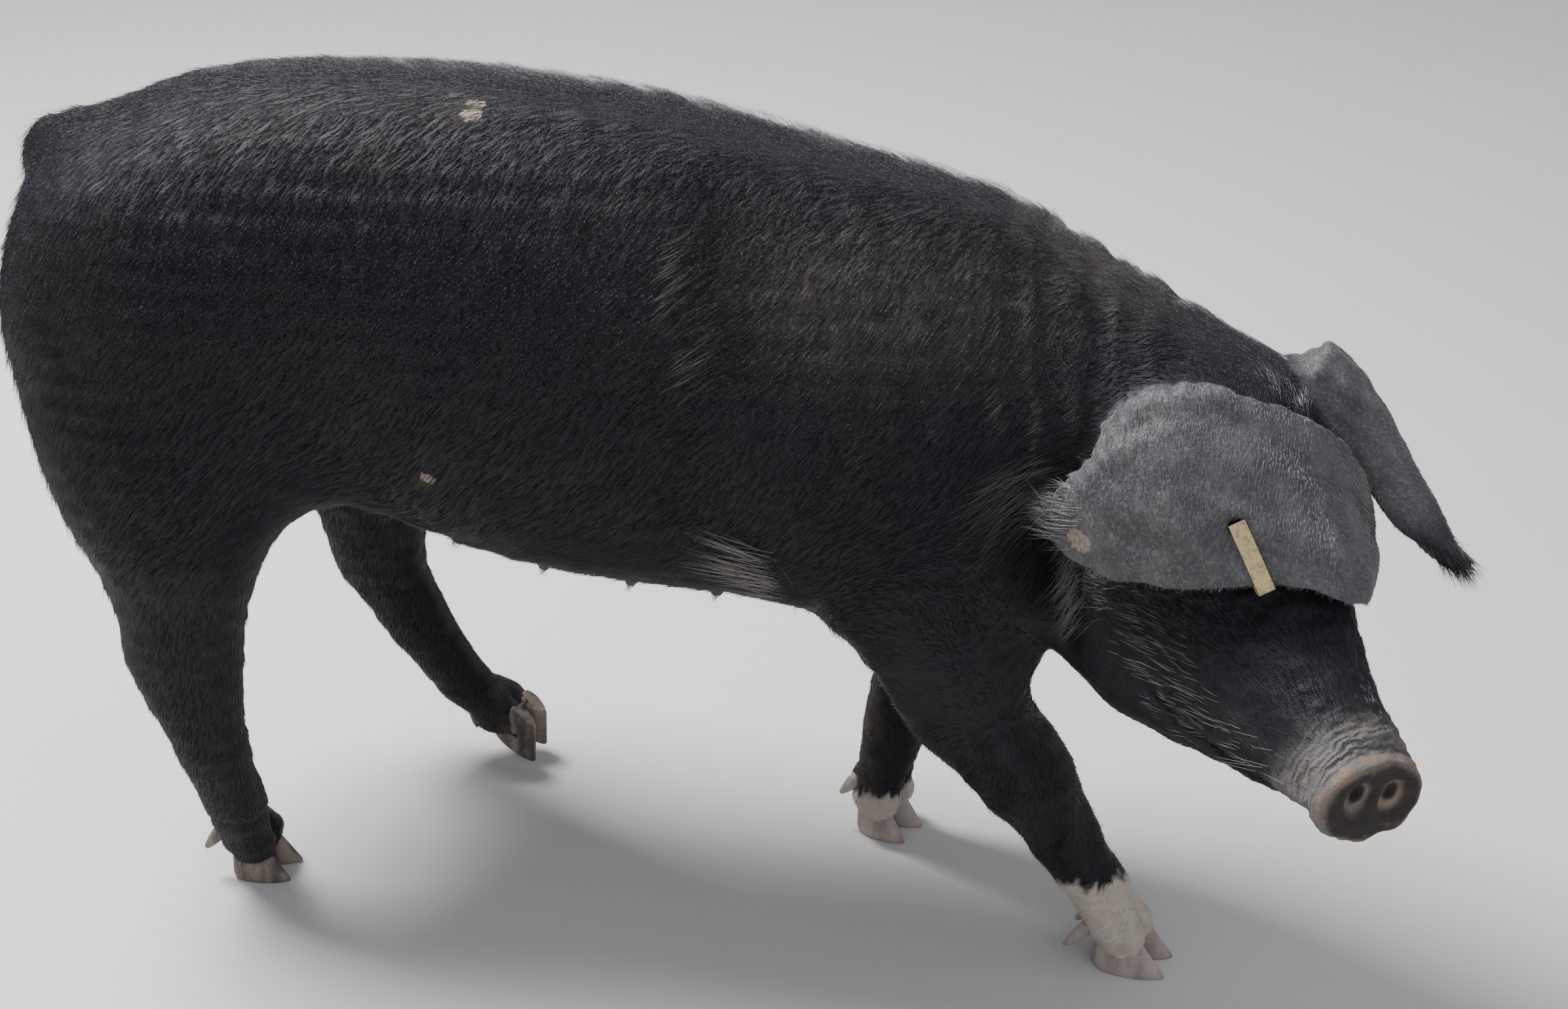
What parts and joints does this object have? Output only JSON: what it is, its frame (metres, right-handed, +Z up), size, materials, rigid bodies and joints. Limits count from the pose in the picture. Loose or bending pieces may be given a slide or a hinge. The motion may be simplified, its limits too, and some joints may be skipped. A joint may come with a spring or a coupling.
{
  "type": "pig",
  "caption": "Still life-size model of a young black lop-eared pig walking with its head low and turned to its right, one hind foot lifted.",
  "frame": {"origin": "on the floor, under the middle of the bounding box", "axes": "+X is the way the animal walks, +Y is its left side, +Z is up; the head is turned towards -Y"},
  "size_m": [1.04, 0.4336, 0.6226],
  "materials": {
    "coat": "thin black bristles over near-black skin",
    "foot_coat": "short pale hair of the sock over pink-grey skin",
    "ear_skin": "grey wrinkled skin with short fine hair",
    "snout_skin": "bare damp wrinkled skin with dried mud",
    "eye": "wet and dark brown",
    "tag_metal": "dull plated strip",
    "claw": "pale worn horn"
  },
  "bodies": {
    "root": {"trunk": "coat", "neck": "coat", "head": "coat", "tail": "coat", "fore_right_leg": "coat", "fore_left_leg": "coat", "hind_right_leg": "coat", "hind_left_leg": "coat", "fore_right_foot": "foot_coat", "fore_left_foot": "foot_coat", "hind_right_foot": "foot_coat", "hind_left_foot": "foot_coat", "ear_left": "ear_skin", "ear_right": "ear_skin", "snout": "snout_skin", "eye_left": "eye", "eye_right": "eye", "ear_tag": "tag_metal", "fore_right_claw_right": "claw", "fore_right_claw_left": "claw", "fore_right_dewclaw_right": "claw", "fore_right_dewclaw_left": "claw", "fore_left_claw_right": "claw", "fore_left_claw_left": "claw", "fore_left_dewclaw_right": "claw", "fore_left_dewclaw_left": "claw", "hind_right_claw_right": "claw", "hind_right_claw_left": "claw", "hind_right_dewclaw_right": "claw", "hind_right_dewclaw_left": "claw", "hind_left_claw_right": "claw", "hind_left_claw_left": "claw", "hind_left_dewclaw_right": "claw", "hind_left_dewclaw_left": "claw"}
  },
  "joints": []
}
